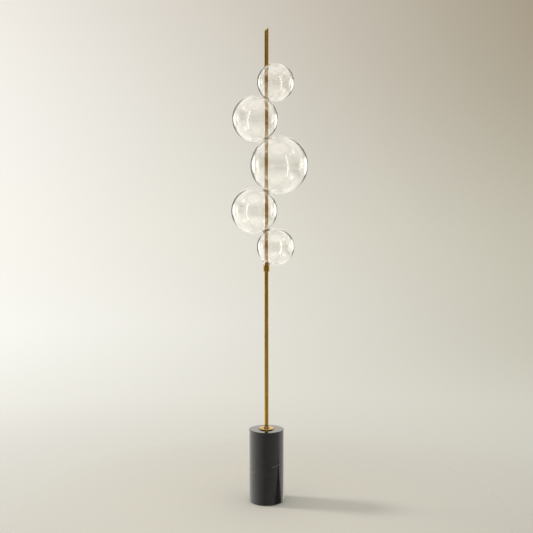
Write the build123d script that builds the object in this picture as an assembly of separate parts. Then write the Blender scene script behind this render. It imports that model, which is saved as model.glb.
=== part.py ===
from build123d import *
import os
from collections import namedtuple
from math import cos, radians, sin, sqrt, tan

# Floor lamp: a stone drum, a brass tube standing in it, and five blown glass globes that are
# threaded over the tube off their centres, to one side and the other by turns.
# Lengths are in millimetres and angles in degrees. Z is up and the floor is at zero.
# The stem stands on the Z axis. The supply inlet is at the rear, on +Y.

# Clearances
running_clearance = 0.05     # radial, between tube and what slides on or in it
assembly_clearance = 0.25    # radial, between pieces put together once
lift_clearance = 0.3         # between a ring and the globe that lifts off it
bonded_gap = 0.05            # film between a ring and the globe that it is bonded to

# Stone base
base_diameter = 139.0
stone_height = 284.5
stone_edge_radius = 1.5
foot_pad_thickness = 2.5
foot_pad_inset = 3.0         # from the stone's side to the pad's edge

# Recess under the stone
recess_diameter = 88.0
recess_depth = 42.5
plate_pocket_diameter = 112.0
plate_thickness = 2.2
plate_pocket_depth = 2.4

# Bottom plate fasteners
plate_screw_count = 3
plate_screw_circle_radius = 50.0
plate_screw_first_angle = 30.0
plate_screw_length = 8.0
plate_screw_radius = 1.5
plate_screw_head_radius = 3.0
plate_screw_slot_width = 0.8
plate_screw_slot_depth = 0.8
insert_radius = 3.0
insert_length = 9.0

# Supply inlet
inlet_height = 14.5
inlet_bore_radius = 3.7
inlet_bush_radius = 6.0
inlet_flange_radius = 8.0
inlet_flange_thickness = 2.5
inlet_spot_face_depth = 1.2

# Stem
stem_diameter = 16.0
stem_wall = 1.5
bare_stem_below_collar = 632.0   # from the stone's top to the collar
stem_above_globes = 156.0        # from the top globe's upper hole to the tip
tip_mitre_angle = 45.0
tip_mitre_turn = 40.0            # about the stem, from +X to the tip's high side
tip_plug_length = 14.0
socket_depth = 60.0              # the stem's seat in the stone

# Stem foot and its tie to the stone
foot_plug_flange_thickness = 4.0
foot_plug_length = 26.0
tie_tube_diameter = 10.0
tie_tube_bore_diameter = 6.6
tie_hole_diameter = 11.0
tie_tube_grip = 22.0             # length held in the foot plug
tie_tube_tail = 6.0              # length left below the nut
washer_diameter = 36.0
washer_thickness = 3.0
nut_across_flats = 17.0
nut_thickness = 8.0

# Flange on top of the stone, with a low hub round the stem
flange_diameter = 62.0
flange_thickness = 4.0
flange_edge = 0.8
flange_hub_diameter = 23.0
flange_hub_rise = 5.5            # above the flange

# Support collar over the joint of the two tubes
collar_diameter = 24.0
collar_height = 26.0
collar_edge = 1.0
tube_joint_drop = 13.0           # from the collar's top to the joint inside it
coupler_length = 46.0
coupler_bore_diameter = 9.8
coupler_share_below = 0.6
set_screw_radius = 2.0
set_screw_hex = 2.0
set_screw_hex_depth = 1.8
set_screw_rise = 7.0             # from the collar's lower end
set_screw_sink = 0.4             # from the collar's side to the screw's outer end

# Glass globes
small_globe_diameter = 150.0
medium_globe_diameter = 185.0
large_globe_diameter = 232.0
small_globe_offset = 36.5        # from the stem's axis to the globe's centre
lower_globe_offset = 49.0
middle_globe_offset = 51.0
upper_globe_offset = 45.5
glass_thickness = 2.6
stem_hole_diameter = 19.0
glass_gap = 0.8                  # between two globes, along the line of their centres

# Clear rings in the joints between globes
ring_diameter = 27.0
ring_sleeve_wall = 1.1
ring_sleeve_reach = 11.0         # from the joint into each globe
top_ring_thickness = 2.2
seat_thin_edge = 1.5             # the seat's thickness under the globe's lowest side

# Light windows in the stem
window_width = 7.0
small_window_length = 108.0
medium_window_length = 128.0
large_window_length = 160.0
lens_recess = 0.7                # below the tube's surface
lens_trim = 0.1                  # all round the lens, inside its window
lens_lip = 0.9
lens_lip_thickness = 0.8

# Light strips on their carrier
carrier_width = 6.0
carrier_thickness = 2.6
carrier_foot_gap = 5.0
carrier_head_gap = 20.0
strip_width = 5.6
strip_thickness = 0.9
strip_end_gap = 1.5
chip_size = 2.6
chip_height = 0.7
chip_pitch = 8.0

# Driver and wiring in the recess
driver_length = 66.0
driver_width = 34.0
driver_height = 17.0
driver_edge = 2.0
driver_lift = 0.5
block_length = 22.0
block_width = 12.0
block_height = 13.0
block_gap = 4.0
block_screw_radius = 1.6
block_screw_depth = 2.0
lead_radius = 0.7
lead_spacing = 9.0
wire_radius = 0.7
wire_spacing_in_tie = 3.0
wire_spacing_in_stem = 8.0
wire_spread_rise = 18.0
wire_bend_radius = 40.0

# Heights worked out from the sizes above
stone_bottom = foot_pad_thickness
stone_top = stone_bottom + stone_height
recess_top = stone_bottom + recess_depth
plate_top = stone_bottom + plate_pocket_depth
socket_floor = stone_top - socket_depth
lower_tube_foot = socket_floor + foot_plug_flange_thickness
collar_bottom = stone_top + bare_stem_below_collar
collar_top = collar_bottom + collar_height
tube_joint = collar_top - tube_joint_drop
driver_bottom = plate_top + driver_lift
driver_top = driver_bottom + driver_height

# Radii worked out from the sizes above
stem_radius = stem_diameter / 2
stem_bore_radius = stem_radius - stem_wall
ring_bore_radius = stem_radius + running_clearance
ring_radius = ring_diameter / 2
sleeve_radius = ring_bore_radius + ring_sleeve_wall
tie_radius = tie_tube_diameter / 2

Globe = namedtuple("Globe", "name radius x z window")

UP = (Align.CENTER, Align.CENTER, Align.MIN)
OUT_TO_PLUS_X = (Align.MIN, Align.CENTER, Align.CENTER)


def rod(radius, bottom, top):
    """Upright solid cylinder on the stem's axis."""
    return Pos(0, 0, bottom) * Cylinder(radius, top - bottom, align=UP)


def tube(outer_radius, bore_radius, bottom, top):
    """Upright tube on the stem's axis."""
    return rod(outer_radius, bottom, top) - rod(bore_radius, bottom, top)


def around(count, radius, first_angle, height):
    """Places spread evenly round the stem's axis."""
    angles = [first_angle + 360 * i / count for i in range(count)]
    return [Pos(radius * cos(radians(a)), radius * sin(radians(a)), height) for a in angles]


def ball(globe, growth=0.0):
    """Solid ball of a globe's outside, grown by the given amount, its seam away from the stem."""
    return Pos(globe.x, 0, globe.z) * facing(globe) * Sphere(globe.radius + growth)


def facing(globe):
    """Turn that points +X towards the globe's wide side."""
    return Rot(0, 0, 0 if globe.x > 0 else 180)


def half_chord(globe):
    """From a globe's centre height to where its outside crosses the stem's axis."""
    return sqrt(globe.radius ** 2 - globe.x ** 2)


def joint_height(lower, upper):
    """Middle of the joint between two globes, on the stem's axis."""
    return (lower.z + half_chord(lower) + upper.z - half_chord(upper)) / 2


def stack_globes():
    """The globes from the bottom up, each resting on the one below with a small gap."""
    order = [
        ("bottom_globe", small_globe_diameter, small_globe_offset, small_window_length),
        ("lower_globe", medium_globe_diameter, lower_globe_offset, medium_window_length),
        ("middle_globe", large_globe_diameter, middle_globe_offset, large_window_length),
        ("upper_globe", medium_globe_diameter, upper_globe_offset, medium_window_length),
        ("top_globe", small_globe_diameter, small_globe_offset, small_window_length),
    ]
    globes = []
    side = 1
    for name, diameter, offset, window in order:
        radius = diameter / 2
        x = side * offset
        if globes:
            below = globes[-1]
            reach = below.radius + radius + glass_gap
            z = below.z + sqrt(reach ** 2 - (x - below.x) ** 2)
        else:
            edge = sqrt(radius ** 2 - (ring_radius - x) ** 2)
            z = collar_top + seat_thin_edge + edge
        globes.append(Globe(name, radius, x, z, window))
        side = -side
    return globes


globes = stack_globes()
top_hole = globes[-1].z + half_chord(globes[-1])
tip_height = top_hole + stem_above_globes
mitre_drop = stem_diameter * tan(radians(tip_mitre_angle))
tip_low_side = tip_height - mitre_drop


def stone_base():
    """Stone drum with the stem's socket above and the electrical recess below."""
    radius = base_diameter / 2
    tie = tie_hole_diameter / 2
    recess = recess_diameter / 2
    pocket = plate_pocket_diameter / 2
    socket = stem_radius + assembly_clearance
    section = Polyline(
        (tie, recess_top),
        (recess, recess_top),
        (recess, plate_top),
        (pocket, plate_top),
        (pocket, stone_bottom),
        (radius, stone_bottom),
        (radius, stone_top),
        (socket, stone_top),
        (socket, socket_floor),
        (tie, socket_floor),
        close=True,
    )
    drum = revolve(make_face(Plane.XZ * section), Axis.Z)
    rims = [e for e in drum.edges().filter_by(GeomType.CIRCLE) if abs(e.radius - radius) < 0.01]
    drum = fillet(rims, stone_edge_radius)
    insert_hole = Cylinder(insert_radius + bonded_gap, insert_length, align=UP)
    for place in insert_places():
        drum -= place * insert_hole
    to_rear = Rot(-90, 0, 0)
    drum -= Pos(0, 0, inlet_height) * to_rear * Cylinder(inlet_bush_radius + bonded_gap, radius, align=UP)
    spot_face = Cylinder(inlet_flange_radius + assembly_clearance, radius, align=UP)
    drum -= Pos(0, radius - inlet_spot_face_depth, inlet_height) * to_rear * spot_face
    return drum


def foot_pad():
    """Rubber disc that the stone stands on."""
    return rod(base_diameter / 2 - foot_pad_inset, 0, foot_pad_thickness)


def insert_places():
    """Where the threaded inserts start, on the step that the bottom plate lies on."""
    return around(plate_screw_count, plate_screw_circle_radius, plate_screw_first_angle, plate_top)


def plate_inserts():
    """Threaded brass inserts bonded into the stone."""
    bore = plate_screw_radius + running_clearance
    insert = Cylinder(insert_radius, insert_length, align=UP) - Cylinder(bore, insert_length, align=UP)
    return Compound(children=[place * insert for place in insert_places()])


def plate_screws():
    """Countersunk screws that hold the bottom plate, flush with its underside."""
    head_height = plate_screw_head_radius - plate_screw_radius
    head = Cone(plate_screw_head_radius, plate_screw_radius, head_height, align=UP)
    shank = Cylinder(plate_screw_radius, plate_screw_length, align=UP)
    slot = Box(2 * plate_screw_head_radius, plate_screw_slot_width, plate_screw_slot_depth, align=UP)
    screw = Pos(0, 0, -plate_thickness) * (head + shank - slot)
    return Compound(children=[place * screw for place in insert_places()])


def bottom_plate():
    """Steel plate that closes the recess, with countersunk screw holes."""
    plate = rod(plate_pocket_diameter / 2 - assembly_clearance, plate_top - plate_thickness, plate_top)
    hole = plate_screw_radius + running_clearance
    sink = plate_screw_head_radius + running_clearance
    cutter = Cylinder(hole, plate_thickness, align=UP) + Cone(sink, hole, sink - hole, align=UP)
    for place in insert_places():
        plate -= place * Pos(0, 0, -plate_thickness) * cutter
    return plate


def inlet_bush():
    """Rubber bush for the supply cord, flanged on the outside of the stone."""
    outer_face = base_diameter / 2 - inlet_spot_face_depth
    inner_face = recess_diameter / 2
    length = outer_face - inner_face
    bush = Cylinder(inlet_bush_radius, length, align=UP)
    bush += Pos(0, 0, length) * Cylinder(inlet_flange_radius, inlet_flange_thickness, align=UP)
    rim = bush.edges().group_by(Axis.Z)[-1]
    bush = fillet(rim, inlet_flange_thickness / 3)
    bush -= Cylinder(inlet_bore_radius, length + inlet_flange_thickness, align=UP)
    return Pos(0, inner_face, inlet_height) * Rot(-90, 0, 0) * bush


def tie_tube():
    """Threaded tube that ties the stem's foot down through the stone."""
    bottom = recess_top - washer_thickness - nut_thickness - tie_tube_tail
    top = socket_floor + tie_tube_grip
    return tube(tie_radius, tie_tube_bore_diameter / 2, bottom, top)


def clamp_washer():
    """Broad steel washer under the stone."""
    bore = tie_radius + assembly_clearance
    return tube(washer_diameter / 2, bore, recess_top - washer_thickness, recess_top)


def clamp_nut():
    """Hexagon nut on the tie tube, under the washer."""
    top = recess_top - washer_thickness
    hexagon = RegularPolygon(nut_across_flats / 2, 6, major_radius=False)
    nut = Pos(0, 0, top - nut_thickness) * extrude(hexagon, nut_thickness)
    return nut - rod(tie_radius + running_clearance, top - nut_thickness, top)


def foot_plug():
    """Steel plug in the lower tube's end, which stands on the socket's floor."""
    plug = rod(stem_radius, socket_floor, lower_tube_foot)
    plug += rod(stem_bore_radius - running_clearance, lower_tube_foot, socket_floor + foot_plug_length)
    return plug - rod(tie_radius + running_clearance, socket_floor, socket_floor + foot_plug_length)


def base_flange():
    """Brass disc with a low hub round the stem, on top of the stone."""
    disc_top = stone_top + flange_thickness
    hub_top = disc_top + flange_hub_rise
    disc = rod(flange_diameter / 2, stone_top, disc_top)
    disc = chamfer(disc.edges().group_by(Axis.Z)[-1], flange_edge)
    hub = rod(flange_hub_diameter / 2, disc_top, hub_top)
    hub = chamfer(hub.edges().group_by(Axis.Z)[-1], flange_edge)
    return disc + hub - rod(ring_bore_radius, stone_top, hub_top)


def lower_stem():
    """Lower brass tube, from the foot plug to the joint inside the collar."""
    return tube(stem_radius, stem_bore_radius, lower_tube_foot, tube_joint)


def stem_coupler():
    """Spigot inside both tubes where they meet."""
    bottom = tube_joint - coupler_length * coupler_share_below
    return tube(
        stem_bore_radius - running_clearance, coupler_bore_diameter / 2, bottom, bottom + coupler_length
    )


def support_collar():
    """Brass collar that covers the tubes' joint and carries the globes."""
    collar = rod(collar_diameter / 2, collar_bottom, collar_top)
    ends = collar.edges().filter_by(GeomType.CIRCLE)
    collar = chamfer(ends, collar_edge)
    collar -= rod(ring_bore_radius, collar_bottom, collar_top)
    screw_hole = Cylinder(set_screw_radius + running_clearance, collar_diameter, align=UP)
    return collar - Pos(0, 0, collar_bottom + set_screw_rise) * Rot(-90, 0, 0) * screw_hole


def collar_set_screw():
    """Grub screw at the back of the collar, with a hexagon socket."""
    start = stem_radius + running_clearance
    length = collar_diameter / 2 - start - set_screw_sink
    screw = Cylinder(set_screw_radius, length, align=UP)
    socket = extrude(RegularPolygon(set_screw_hex / 2, 6, major_radius=False), set_screw_hex_depth)
    screw -= Pos(0, 0, length - set_screw_hex_depth) * socket
    return Pos(0, start, collar_bottom + set_screw_rise) * Rot(-90, 0, 0) * screw


def mitre_cutter():
    """Everything above the stem's slanted tip, whose high side is turned about the stem."""
    size = 4 * (mitre_drop + stem_diameter)
    block = Box(size, size, size, align=UP)
    middle = (tip_height + tip_low_side) / 2
    return Pos(0, 0, middle) * Rot(0, 0, tip_mitre_turn) * Rot(0, -tip_mitre_angle, 0) * block


def window_outline(globe, trim):
    """Long round-ended outline of a light window, facing +X, trimmed all round."""
    slot = SlotOverall(globe.window - 2 * trim, window_width - 2 * trim, rotation=90)
    return Plane.YZ * slot


def upper_stem():
    """Upper brass tube with a light window in each globe and a mitred tip."""
    stem = tube(stem_radius, stem_bore_radius, tube_joint, tip_height)
    for globe in globes:
        window = extrude(window_outline(globe, 0), stem_diameter)
        stem -= Pos(0, 0, globe.z) * facing(globe) * window
    return stem - mitre_cutter()


def tip_plug():
    """Brass plug that closes the mitred tip flush."""
    plug = rod(stem_bore_radius - running_clearance, tip_low_side - tip_plug_length, tip_height)
    return plug - mitre_cutter()


def window_lens(globe):
    """Frosted lens strip, clipped into its window from inside the tube."""
    lip_width = window_width + 2 * lens_lip
    lip_length = globe.window + 2 * lens_lip
    lip_face = sqrt((stem_bore_radius - running_clearance) ** 2 - (lip_width / 2) ** 2)
    start = lip_face - lens_lip_thickness
    body = Pos(start, 0, 0) * extrude(window_outline(globe, lens_trim), stem_radius)
    body &= Cylinder(stem_radius - lens_recess, globe.window)
    lip = Pos(start, 0, 0) * Box(lens_lip_thickness, lip_width, lip_length, align=OUT_TO_PLUS_X)
    return Pos(0, 0, globe.z) * facing(globe) * (body + lip)


def light_strip(globe):
    """Circuit strip with its row of light chips, on the carrier behind a window."""
    start = carrier_thickness / 2
    length = globe.window - 2 * strip_end_gap
    strip = Pos(start, 0, 0) * Box(strip_thickness, strip_width, length, align=OUT_TO_PLUS_X)
    count = int((length - chip_size) // chip_pitch) + 1
    first = -(count - 1) * chip_pitch / 2
    chip = Box(strip_thickness + chip_height, chip_size, chip_size, align=OUT_TO_PLUS_X)
    strip += [Pos(start, 0, first + i * chip_pitch) * chip for i in range(count)]
    return Pos(0, 0, globe.z) * facing(globe) * strip


def strip_carrier():
    """Aluminium bar inside the upper tube that holds and cools the strips."""
    bottom = tube_joint + coupler_length * (1 - coupler_share_below) + carrier_foot_gap
    top = top_hole + carrier_head_gap
    bar = Box(carrier_thickness, carrier_width, top - bottom, align=UP)
    return Pos(0, 0, bottom) * bar


def stem_wires():
    """Pair of insulated wires from the driver up the stem, one each side of the carrier."""
    spread_start = socket_floor + foot_plug_length + wire_spread_rise
    top = globes[-1].z
    wires = []
    for side in (1, -1):
        near = side * wire_spacing_in_tie / 2
        far = side * wire_spacing_in_stem / 2
        path = FilletPolyline(
            (0, near, driver_top),
            (0, near, spread_start),
            (0, far, spread_start + wire_spread_rise),
            (0, far, top),
            radius=wire_bend_radius,
        )
        section = Pos(0, near, driver_top) * Circle(wire_radius)
        wires.append(sweep(section, path))
    return Compound(children=wires)


def led_driver():
    """Small encapsulated driver that lies on the bottom plate."""
    case = Box(driver_length, driver_width, driver_height, align=UP)
    case = fillet(case.edges().filter_by(Axis.Z), driver_edge)
    return Pos(0, 0, driver_bottom) * case


def terminal_block():
    """Two-way block between the supply cord and the driver."""
    block = Box(block_length, block_width, block_height, align=UP)
    well = Cylinder(block_screw_radius, block_screw_depth, align=UP)
    for x in (-lead_spacing / 2, lead_spacing / 2):
        block -= Pos(x, 0, block_height - block_screw_depth) * well
    return Pos(0, driver_width / 2 + block_gap + block_width / 2, driver_bottom) * block


def supply_leads():
    """Two short leads from the terminal block to the driver."""
    lead = Rot(-90, 0, 0) * Cylinder(lead_radius, block_gap, align=UP)
    height = driver_bottom + block_height / 2
    places = [Pos(x, driver_width / 2, height) for x in (-lead_spacing / 2, lead_spacing / 2)]
    return Compound(children=[place * lead for place in places])


def glass_globe(globe):
    """Blown shell with two round holes, bored along the stem and off the globe's centre."""
    shell = ball(globe) - ball(globe, -glass_thickness)
    bore = rod(stem_hole_diameter / 2, globe.z - globe.radius, globe.z + globe.radius)
    return shell - bore


def ring_sleeve(middle):
    """Thin sleeve on the stem that centres the glass holes on it."""
    return tube(sleeve_radius, ring_bore_radius, middle - ring_sleeve_reach, middle + ring_sleeve_reach)


def joint_ring(lower, upper):
    """Clear ring between two globes, moulded to the curve of both."""
    middle = joint_height(lower, upper)
    reach = ring_radius + ring_sleeve_reach
    web = tube(ring_radius, ring_bore_radius, middle - reach, middle + reach)
    web = web - ball(lower, bonded_gap) - ball(upper, lift_clearance)
    return web + ring_sleeve(middle)


def top_ring(globe):
    """Clear ring in the uppermost hole, with a brim that follows the glass."""
    reach = ring_radius + ring_sleeve_reach
    brim = tube(ring_radius, ring_bore_radius, top_hole - reach, top_hole + reach)
    brim &= ball(globe, top_ring_thickness)
    brim -= ball(globe, bonded_gap)
    return brim + ring_sleeve(top_hole)


def globe_seat(globe):
    """Clear wedge on the collar, level below and dished above for the lowest globe."""
    middle = globe.z - half_chord(globe)
    wedge = tube(ring_radius, ring_bore_radius, collar_top, middle + ring_sleeve_reach)
    wedge -= ball(globe, lift_clearance)
    sleeve = tube(sleeve_radius, ring_bore_radius, collar_top, middle + ring_sleeve_reach)
    return wedge + sleeve


def lamp_nodes():
    """Every sub-part by its node name."""
    nodes = {
        "stone_base": stone_base(),
        "foot_pad": foot_pad(),
        "bottom_plate": bottom_plate(),
        "plate_inserts": plate_inserts(),
        "plate_screws": plate_screws(),
        "inlet_bush": inlet_bush(),
        "tie_tube": tie_tube(),
        "clamp_washer": clamp_washer(),
        "clamp_nut": clamp_nut(),
        "foot_plug": foot_plug(),
        "base_flange": base_flange(),
        "lower_stem": lower_stem(),
        "stem_coupler": stem_coupler(),
        "support_collar": support_collar(),
        "collar_set_screw": collar_set_screw(),
        "globe_seat": globe_seat(globes[0]),
        "upper_stem": upper_stem(),
        "tip_plug": tip_plug(),
        "strip_carrier": strip_carrier(),
        "stem_wires": stem_wires(),
        "led_driver": led_driver(),
        "terminal_block": terminal_block(),
        "supply_leads": supply_leads(),
    }
    for globe in globes:
        place = globe.name.removesuffix("_globe")
        nodes[globe.name] = glass_globe(globe)
        nodes[place + "_window_lens"] = window_lens(globe)
        nodes[place + "_light_strip"] = light_strip(globe)
    for lower, upper in zip(globes, globes[1:]):
        nodes[lower.name + "_ring"] = joint_ring(lower, upper)
    nodes["top_globe_ring"] = top_ring(globes[-1])
    return nodes


os.makedirs("parts", exist_ok=True)
for name, shape in lamp_nodes().items():
    export_step(shape, f"parts/{name}.step")
print(f"tip {tip_height:.1f}, upper hole {top_hole:.1f}, collar top {collar_top:.1f}")
for globe in globes:
    print(f"{globe.name}: centre {globe.x:.1f}, {globe.z:.1f}, lowest {globe.z - globe.radius:.1f}")
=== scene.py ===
import math

import bmesh
import bpy
from mathutils import Matrix, Vector


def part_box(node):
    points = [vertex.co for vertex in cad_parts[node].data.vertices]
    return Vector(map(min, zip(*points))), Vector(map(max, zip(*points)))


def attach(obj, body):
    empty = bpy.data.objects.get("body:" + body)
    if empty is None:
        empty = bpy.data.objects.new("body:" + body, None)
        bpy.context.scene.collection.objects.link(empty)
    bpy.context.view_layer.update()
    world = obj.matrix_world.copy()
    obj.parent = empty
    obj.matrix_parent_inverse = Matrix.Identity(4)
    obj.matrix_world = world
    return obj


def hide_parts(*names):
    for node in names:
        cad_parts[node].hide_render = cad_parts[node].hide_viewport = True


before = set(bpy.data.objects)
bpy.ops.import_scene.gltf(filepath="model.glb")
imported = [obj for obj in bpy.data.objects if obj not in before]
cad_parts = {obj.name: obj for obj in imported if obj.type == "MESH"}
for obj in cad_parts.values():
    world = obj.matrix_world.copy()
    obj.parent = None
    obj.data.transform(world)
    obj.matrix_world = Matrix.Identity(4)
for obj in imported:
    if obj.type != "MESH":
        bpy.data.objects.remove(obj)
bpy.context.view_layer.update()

# Floor lamp: a black stone drum, a brass stem and five clear globes threaded on it off their centres.
# Everything is in metres. Z is up, the stem stands on the Z axis and the supply inlet is at the back, on +Y.

mm = 0.001
fullTurn = 2 * math.pi


# Places and sizes from the frame

def lowOf(node):
    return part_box(node)[0]


def highOf(node):
    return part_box(node)[1]


def readGlobe(place):
    low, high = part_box(place + "_globe")
    x = (low.x + high.x) / 2
    return {
        "place": place,
        "body": place + "_globe",
        "radius": (high.z - low.z) / 2,
        "x": x,
        "z": (low.z + high.z) / 2,
        "facing": 0 if x > 0 else math.pi,      # turn from +X to the globe's wide side
    }


globes = [readGlobe(place) for place in ("bottom", "lower", "middle", "upper", "top")]
stemRadius = highOf("lower_stem").x
tipHeight = highOf("upper_stem").z


def sphereHeight(globe, reach, grow, angle, side):
    # height of a globe's surface at a distance from the stem, above (side 1) or below (side -1) its centre
    across = reach * reach - 2 * reach * globe["x"] * math.cos(angle) + globe["x"] ** 2
    return globe["z"] + side * math.sqrt((globe["radius"] + grow) ** 2 - across)


def addObject(name, data):
    made = bpy.data.objects.new(name, data)
    bpy.context.scene.collection.objects.link(made)
    return made


# Camera, level with the middle of the picture

cameraSetup = {
    "framePixels": 533,
    "focalPixels": 658,
    "sensorWidth": 36,
    "horizonPixel": 266.5,
    "floorPixel": 500.1,        # where the stem's axis meets the floor
    "tipPixel": 27.4,           # the stem's highest point
}


def placeCamera(setup):
    metresPerPixel = tipHeight / (setup["floorPixel"] - setup["tipPixel"])
    data = bpy.data.cameras.new("camera")
    data.sensor_width = setup["sensorWidth"]
    data.lens = setup["focalPixels"] / setup["framePixels"] * setup["sensorWidth"]
    camera = addObject("camera", data)
    height = (setup["floorPixel"] - setup["horizonPixel"]) * metresPerPixel
    camera.location = (0, -setup["focalPixels"] * metresPerPixel, height)
    camera.rotation_euler = (math.pi / 2, 0, 0)
    bpy.context.scene.camera = camera
    print("camera placed at", [round(value, 3) for value in camera.location])


placeCamera(cameraSetup)


# Node helpers

def addNode(tree, kind, feeds=None, **settings):
    made = tree.nodes.new(kind)
    for key, value in settings.items():
        setattr(made, key, value)
    for key, value in (feeds or {}).items():
        feed(tree, made.inputs[key], value)
    return made


def feed(tree, socket, value):
    if isinstance(value, bpy.types.NodeSocket):
        tree.links.new(value, socket)
    else:
        socket.default_value = value


def calc(tree, operation, *terms):
    made = addNode(tree, "ShaderNodeMath", operation=operation)
    for socket, term in zip(made.inputs, terms):
        feed(tree, socket, term)
    return made.outputs[0]


def vectorCalc(tree, operation, *terms):
    made = addNode(tree, "ShaderNodeVectorMath", operation=operation)
    for socket, term in zip(made.inputs, terms):
        feed(tree, socket, term)
    return made.outputs["Value" if operation in ("DOT_PRODUCT", "LENGTH") else "Vector"]


def scaled(tree, vector, share):
    made = addNode(tree, "ShaderNodeVectorMath", {0: vector, "Scale": share}, operation="SCALE")
    return made.outputs["Vector"]


def apart(tree, vector):
    # the three numbers of a vector, by the name of their axis
    return addNode(tree, "ShaderNodeSeparateXYZ", {"Vector": vector}).outputs


def together(tree, **parts):
    return addNode(tree, "ShaderNodeCombineXYZ", parts).outputs[0]


def clamped(tree, value, low, high):
    return addNode(tree, "ShaderNodeClamp", {"Value": value, "Min": low, "Max": high}).outputs[0]


def between(tree, value, start, end, curve="LINEAR"):
    # 0 before start and 1 after end; start may be the larger one
    feeds = {"Value": value, "From Min": start, "From Max": end}
    return addNode(tree, "ShaderNodeMapRange", feeds, interpolation_type=curve).outputs["Result"]


def ease(tree, value, start, end):
    return between(tree, value, start, end, "SMOOTHSTEP")


def blendColour(tree, factor, first, second):
    # the mix node's colour sockets are the seventh and the eighth
    return addNode(tree, "ShaderNodeMix", {0: factor, 6: first, 7: second}, data_type="RGBA").outputs[2]


def noise(tree, place, scale, detail=3.0, roughness=0.5):
    feeds = {"Vector": place, "Scale": scale, "Detail": detail, "Roughness": roughness}
    return addNode(tree, "ShaderNodeTexNoise", feeds).outputs[0]


def openGroup(name, kind, inputs, outputs):
    tree = bpy.data.node_groups.new(name, kind)
    for label, socketType, value in inputs:
        socket = tree.interface.new_socket(label, in_out="INPUT", socket_type="NodeSocket" + socketType)
        if value is not None:
            socket.default_value = value
    for label, socketType in outputs:
        tree.interface.new_socket(label, in_out="OUTPUT", socket_type="NodeSocket" + socketType)
    entry = tree.nodes.new("NodeGroupInput").outputs
    result = tree.nodes.new("NodeGroupOutput").inputs
    return tree, entry, result


def useGroup(tree, group, feeds):
    kind = "GeometryNodeGroup" if tree.bl_idname == "GeometryNodeTree" else "ShaderNodeGroup"
    return addNode(tree, kind, feeds, node_tree=group)


def colour(code):
    # linear colour from its written form
    parts = [int(code[i:i + 2], 16) / 255 for i in (0, 2, 4)]
    return [c / 12.92 if c <= 0.04045 else ((c + 0.055) / 1.055) ** 2.4 for c in parts] + [1.0]


# World: a pale backdrop for the eye, a studio room for reflections, and a plain level for matt surfaces.
# Azimuth is 0 towards the camera and grows to the right; angles are in degrees.

# Painted light: the backdrop is palest a little below eye level and darker above and below it. It is also lighter on
# the left, as if light from the left fell on it.
backdropSetup = {
    "stops": [
        (-22, "cbc7bc"),
        (-16, "d6d3c8"),
        (-11, "e1dfd4"),
        (-5, "e3e1d7"),
        (3, "e0ddd1"),
        (10, "d9d5ca"),
        (22, "cec7bb"),
    ],
    "reach": 21,                        # from the middle of the picture to its sides
    "tilt": (0.24, 0.25, 0.30),         # painted light: how much lighter the left side is, level with the camera
    "tiltHigh": (0.36, 0.40, 0.48),     # and at the top
    "tiltLow": 0.4,                     # share of the tilt that stays on the floor
    "tiltRise": (-2, 20),               # where the tilt goes from level to top
    "tiltFall": (-4, -15),              # and where it goes down to the floor's share
    "hold": 1.3,                        # the tilt stops growing this far out
}

# levels that reflections see; a row of stops goes from one angle to the next
roomSetup = {
    "warmth": (1.0, 0.965, 0.88),
    "byHeight": [
        (-90, 1.65), (-30, 1.45), (-26, 1.3), (-13.4, 1.2), (-10.5, 1.05), (-7, 0.6), (-4, 0.45), (10, 0.42),
        (16, 0.5), (30, 0.75), (50, 1.2), (90, 1.1),
    ],
    "overhead": (0.0, -0.5, 0.866),     # the way to a round light above the camera
    "overheadHalf": 26,
    "overheadSoft": 8,
    "overheadLevel": 2.2,
    "shoulder": 0.12,                   # dark to the left and right of the camera
    "shoulderAcross": (100, 138, 8),    # from, to and softness, as in each such row, off straight behind
    "shoulderUp": (-8.5, 24, 2),
    "rear": 0.8,                        # pale, straight behind
    "rearHalf": 12,
    "rearSoft": 3,
    "rearBand": 1.42,                   # behind, where the stone's top looks
    "rearBandUp": (9, 18, 2),
    "gap": 0.06,                        # dark beside the rear
    "gapEnd": 44,
    "gapUp": (-10, 38, 5),
    "glassGapEnd": 28,                  # the same gap, seen through the glass
    "glassRearUp": (-50, 50, 5),
    "panels": 8,                        # pale panels round the room, with dark gaps, seen through the glass
    "panelEdge": (16, 19),
    "stoneUnder": (-9.5, -13.9),        # under this, what the stone's side reflects takes over,
    "stoneOver": (-36, -22),            # down to this
    "lightEdge": (1.18, 0.82),          # softness of the oval lights' edges
    "plain": 0.64,                      # the light that matt surfaces get
    "plainWarmth": (1.0, 0.985, 0.95),
}

# what the stone's side reflects, by azimuth
besideStone = [
    (-180, 1.0), (-147, 1.3), (-128, 2.0), (-102, 2.05), (-82, 1.75), (-58, 1.15), (-38, 0.8), (-14, 0.45),
    (0, 0.42), (38, 0.55), (74, 0.8), (92, 1.05), (102, 1.35), (128, 1.3), (147, 1.1), (180, 1.0),
]

# painted shadow: a dark patch low on the right stands in for the base's shadow on the floor, and the stone's side
# reflects it as a wedge
paintedShadowSetup = {
    "azimuth": 85,
    "top": -16.2,
    "topEdge": (0.3, -0.5),
    "depth": 3.4,                       # it stops widening this far down
    "halfWidth": 4,
    "spread": 2.5,
    "edge": (1.35, 0.6),                # in half widths from its middle
    "level": 0.12,
}

# soft oval lights: azimuth, elevation, half width, half height, level
sideLights = [
    (-128, 5, 12, 14, 2.4),
    (-99, 5, 9, 13, 2.4),
    (101, 5, 11, 15, 2.6),
    (134, 5, 16, 14, 2.6),
    (-71, 41, 9, 7, 3.2),
    (71, 41, 9, 7, 3.2),
    (-76, -44, 9, 7, 3.6),
    (76, -44, 9, 7, 3.6),
]


def band(tree, value, low, high, soft):
    # 1 between low and high, 0 outside
    rise = ease(tree, value, low - soft, low + soft)
    fall = ease(tree, value, high + soft, high - soft)
    return calc(tree, "MULTIPLY", rise, fall)


def shift(tree, level, mask, target):
    # moves a level to another one where the mask is 1
    change = calc(tree, "MULTIPLY", calc(tree, "SUBTRACT", target, level), mask)
    return calc(tree, "ADD", level, change)


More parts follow.
